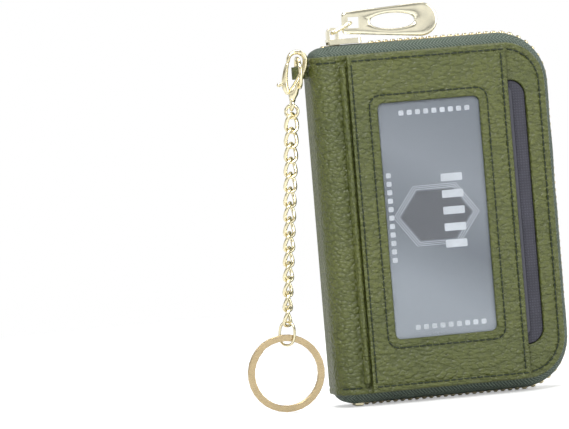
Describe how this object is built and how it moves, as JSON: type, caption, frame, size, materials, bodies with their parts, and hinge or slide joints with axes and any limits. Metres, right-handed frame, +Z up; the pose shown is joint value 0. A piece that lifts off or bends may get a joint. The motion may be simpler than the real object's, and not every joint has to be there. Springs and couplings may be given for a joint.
{
  "type": "zip-round card holder with key chain",
  "caption": "Zip-round leather card holder with an accordion of dividers, window pocket, coin pocket, and a chain with a key ring.",
  "frame": {"origin": "middle of the base of the whole model", "axes": "+Z up, -Y out of the front cover with the window, -X from the spine towards the chain"},
  "size_m": [0.112, 0.0248, 0.134],
  "materials": {
    "leather": "pebbled",
    "lining": "matt twill",
    "board": "matt",
    "tape": "twill",
    "gold": "polished pale gold plate",
    "film": "clear gloss",
    "card": "satin print"
  },
  "bodies": {
    "back_half": {"back_cover": "leather", "back_board": "board", "zip_tape_back": "tape", "zip_teeth_back": "gold", "coin_pocket": "lining", "coin_zip": "lining", "gusset_top": "lining", "gusset_base": "lining"},
    "front_half": {"front_cover": "leather", "front_board": "board", "front_pocket": "leather", "window_film": "film", "window_card": "card", "spine_welt": "leather", "zip_tape_front": "tape", "zip_teeth_front": "gold", "ring_tab": "leather"},
    "divider_01": {"divider_01": "lining"},
    "divider_02": {"divider_02": "lining"},
    "divider_03": {"divider_03": "lining"},
    "divider_04": {"divider_04": "lining"},
    "divider_05": {"divider_05": "lining"},
    "divider_06": {"divider_06": "lining"},
    "divider_07": {"divider_07": "lining"},
    "divider_08": {"divider_08": "lining"},
    "divider_09": {"divider_09": "lining"},
    "divider_10": {"divider_10": "lining"},
    "zip_slider": {"zip_slider": "gold"},
    "puller_link": {"puller_link": "gold"},
    "zip_puller": {"zip_puller": "gold"},
    "coin_slider": {"coin_slider": "gold"},
    "coin_puller": {"coin_puller": "gold"},
    "d_ring": {"d_ring": "gold"},
    "clasp": {"clasp_body": "gold"},
    "clasp_lever": {"clasp_lever": "gold"},
    "jump_ring": {"jump_ring": "gold"},
    "chain_link_01": {"chain_link_01": "gold"},
    "chain_link_02": {"chain_link_02": "gold"},
    "chain_link_03": {"chain_link_03": "gold"},
    "chain_link_04": {"chain_link_04": "gold"},
    "chain_link_05": {"chain_link_05": "gold"},
    "chain_link_06": {"chain_link_06": "gold"},
    "chain_link_07": {"chain_link_07": "gold"},
    "chain_link_08": {"chain_link_08": "gold"},
    "chain_link_09": {"chain_link_09": "gold"},
    "chain_link_10": {"chain_link_10": "gold"},
    "chain_link_11": {"chain_link_11": "gold"},
    "chain_link_12": {"chain_link_12": "gold"},
    "chain_link_13": {"chain_link_13": "gold"},
    "chain_link_14": {"chain_link_14": "gold"},
    "oval_ring": {"oval_ring": "gold"},
    "key_ring": {"key_ring": "gold"}
  },
  "joints": [
    {"name": "cover_open", "type": "hinge", "parent": "back_half", "child": "front_half", "pos_m": [-0.02665, 0.0012, 0.0612], "axis": [0, 0, -1], "range_deg": [0, 70], "deforming": ["gusset_top", "gusset_base"]},
    {"name": "divider_01_fan", "type": "hinge", "parent": "back_half", "child": "divider_01", "pos_m": [-0.02665, 0.0012, 0.0612], "axis": [0, 0, -1], "range_deg": [0, 17.1]},
    {"name": "divider_02_fan", "type": "hinge", "parent": "back_half", "child": "divider_02", "pos_m": [-0.02665, 0.0012, 0.0612], "axis": [0, 0, -1], "range_deg": [0, 21.1]},
    {"name": "divider_03_fan", "type": "hinge", "parent": "back_half", "child": "divider_03", "pos_m": [-0.02665, 0.0012, 0.0612], "axis": [0, 0, -1], "range_deg": [0, 25.3]},
    {"name": "divider_04_fan", "type": "hinge", "parent": "back_half", "child": "divider_04", "pos_m": [-0.02665, 0.0012, 0.0612], "axis": [0, 0, -1], "range_deg": [0, 29.6]},
    {"name": "divider_05_fan", "type": "hinge", "parent": "back_half", "child": "divider_05", "pos_m": [-0.02665, 0.0012, 0.0612], "axis": [0, 0, -1], "range_deg": [0, 34.1]},
    {"name": "divider_06_fan", "type": "hinge", "parent": "back_half", "child": "divider_06", "pos_m": [-0.02665, 0.0012, 0.0612], "axis": [0, 0, -1], "range_deg": [0, 38.6]},
    {"name": "divider_07_fan", "type": "hinge", "parent": "back_half", "child": "divider_07", "pos_m": [-0.02665, 0.0012, 0.0612], "axis": [0, 0, -1], "range_deg": [0, 43]},
    {"name": "divider_08_fan", "type": "hinge", "parent": "back_half", "child": "divider_08", "pos_m": [-0.02665, 0.0012, 0.0612], "axis": [0, 0, -1], "range_deg": [0, 47.3]},
    {"name": "divider_09_fan", "type": "hinge", "parent": "back_half", "child": "divider_09", "pos_m": [-0.02665, 0.0012, 0.0612], "axis": [0, 0, -1], "range_deg": [0, 51.5]},
    {"name": "divider_10_fan", "type": "hinge", "parent": "back_half", "child": "divider_10", "pos_m": [-0.02665, 0.0012, 0.0612], "axis": [0, 0, -1], "range_deg": [0, 55.4]},
    {"name": "zip_slide", "type": "slide", "parent": "back_half", "child": "zip_slider", "axis": [1, 0, 0], "range_m": [0, 0.038]},
    {"name": "puller_link_swing", "type": "hinge", "parent": "zip_slider", "child": "puller_link", "pos_m": [-0.01675, 0.0012, 0.12595], "axis": [0, 1, 0], "range_deg": [-90, 0]},
    {"name": "puller_swing", "type": "hinge", "parent": "puller_link", "child": "zip_puller", "pos_m": [-0.01022, 0.0012, 0.12899], "axis": [0, 1, 0], "range_deg": [-90, 0]},
    {"name": "coin_zip_slide", "type": "slide", "parent": "back_half", "child": "coin_slider", "axis": [0, 0, -1], "range_m": [0, 0.064]},
    {"name": "coin_puller_swing", "type": "hinge", "parent": "coin_slider", "child": "coin_puller", "pos_m": [0.03455, 0.0057, 0.09375], "axis": [0, 1, 0], "range_deg": [-25, 25]},
    {"name": "d_ring_swing", "type": "hinge", "parent": "front_half", "child": "d_ring", "pos_m": [-0.03045, -0.0008, 0.1135], "axis": [0, 0, -1], "range_deg": [0, 60]},
    {"name": "clasp_swing", "type": "hinge", "parent": "d_ring", "child": "clasp", "pos_m": [-0.03045, -0.004, 0.11875], "axis": [0, 1, 0], "range_deg": [0, 60]},
    {"name": "clasp_lever_press", "type": "hinge", "parent": "clasp", "child": "clasp_lever", "pos_m": [-0.03531, -0.004, 0.10822], "axis": [0, 1, 0], "range_deg": [0, 12], "stiffness_Nm_per_rad": 0.02, "springref_deg": -5.73},
    {"name": "jump_ring_swing", "type": "hinge", "parent": "clasp", "child": "jump_ring", "pos_m": [-0.0335, -0.004, 0.10302], "axis": [1, 0, 0], "range_deg": [-25, 25]},
    {"name": "chain_01_bend", "type": "hinge", "parent": "jump_ring", "child": "chain_link_01", "pos_m": [-0.03387, -0.004, 0.09951], "axis": [-1, 0, 0], "range_deg": [-12, 12]},
    {"name": "chain_02_bend", "type": "hinge", "parent": "chain_link_01", "child": "chain_link_02", "pos_m": [-0.0344, -0.004, 0.09454], "axis": [1, 0, 0], "range_deg": [-12, 12]},
    {"name": "chain_03_bend", "type": "hinge", "parent": "chain_link_02", "child": "chain_link_03", "pos_m": [-0.03492, -0.004, 0.08957], "axis": [-1, 0, 0], "range_deg": [-12, 12]},
    {"name": "chain_04_bend", "type": "hinge", "parent": "chain_link_03", "child": "chain_link_04", "pos_m": [-0.03544, -0.004, 0.0846], "axis": [1, 0, 0], "range_deg": [-12, 12]},
    {"name": "chain_05_bend", "type": "hinge", "parent": "chain_link_04", "child": "chain_link_05", "pos_m": [-0.03596, -0.004, 0.07962], "axis": [-1, 0, 0], "range_deg": [-12, 12]},
    {"name": "chain_06_bend", "type": "hinge", "parent": "chain_link_05", "child": "chain_link_06", "pos_m": [-0.03649, -0.004, 0.07465], "axis": [1, 0, 0], "range_deg": [-12, 12]},
    {"name": "chain_07_bend", "type": "hinge", "parent": "chain_link_06", "child": "chain_link_07", "pos_m": [-0.03701, -0.004, 0.06968], "axis": [-1, 0, 0], "range_deg": [-12, 12]},
    {"name": "chain_08_bend", "type": "hinge", "parent": "chain_link_07", "child": "chain_link_08", "pos_m": [-0.03753, -0.004, 0.0647], "axis": [1, 0, 0], "range_deg": [-12, 12]},
    {"name": "chain_09_bend", "type": "hinge", "parent": "chain_link_08", "child": "chain_link_09", "pos_m": [-0.03805, -0.004, 0.05973], "axis": [-1, 0, 0], "range_deg": [-12, 12]},
    {"name": "chain_10_bend", "type": "hinge", "parent": "chain_link_09", "child": "chain_link_10", "pos_m": [-0.03858, -0.004, 0.05476], "axis": [1, 0, 0], "range_deg": [-12, 12]},
    {"name": "chain_11_bend", "type": "hinge", "parent": "chain_link_10", "child": "chain_link_11", "pos_m": [-0.0391, -0.004, 0.04979], "axis": [-1, 0, 0], "range_deg": [-12, 12]},
    {"name": "chain_12_bend", "type": "hinge", "parent": "chain_link_11", "child": "chain_link_12", "pos_m": [-0.03962, -0.004, 0.04482], "axis": [1, 0, 0], "range_deg": [-12, 12]},
    {"name": "chain_13_bend", "type": "hinge", "parent": "chain_link_12", "child": "chain_link_13", "pos_m": [-0.04014, -0.004, 0.03984], "axis": [-1, 0, 0], "range_deg": [-12, 12]},
    {"name": "chain_14_bend", "type": "hinge", "parent": "chain_link_13", "child": "chain_link_14", "pos_m": [-0.04067, -0.004, 0.03487], "axis": [1, 0, 0], "range_deg": [-12, 12]},
    {"name": "oval_ring_bend", "type": "hinge", "parent": "chain_link_14", "child": "oval_ring", "pos_m": [-0.04119, -0.004, 0.0299], "axis": [1, 0, 0], "range_deg": [-12, 12]},
    {"name": "key_ring_swing", "type": "hinge", "parent": "oval_ring", "child": "key_ring", "pos_m": [-0.04168, -0.004, 0.02526], "axis": [-1, 0, 0], "range_deg": [-20, 20]}
  ],
  "couplings": [
    {"joint": "divider_01_fan", "follows": "cover_open", "ratio": 0.2365},
    {"joint": "divider_02_fan", "follows": "cover_open", "ratio": 0.2937},
    {"joint": "divider_03_fan", "follows": "cover_open", "ratio": 0.3539},
    {"joint": "divider_04_fan", "follows": "cover_open", "ratio": 0.4163},
    {"joint": "divider_05_fan", "follows": "cover_open", "ratio": 0.4799},
    {"joint": "divider_06_fan", "follows": "cover_open", "ratio": 0.5438},
    {"joint": "divider_07_fan", "follows": "cover_open", "ratio": 0.607},
    {"joint": "divider_08_fan", "follows": "cover_open", "ratio": 0.6687},
    {"joint": "divider_09_fan", "follows": "cover_open", "ratio": 0.7279},
    {"joint": "divider_10_fan", "follows": "cover_open", "ratio": 0.7837}
  ]
}
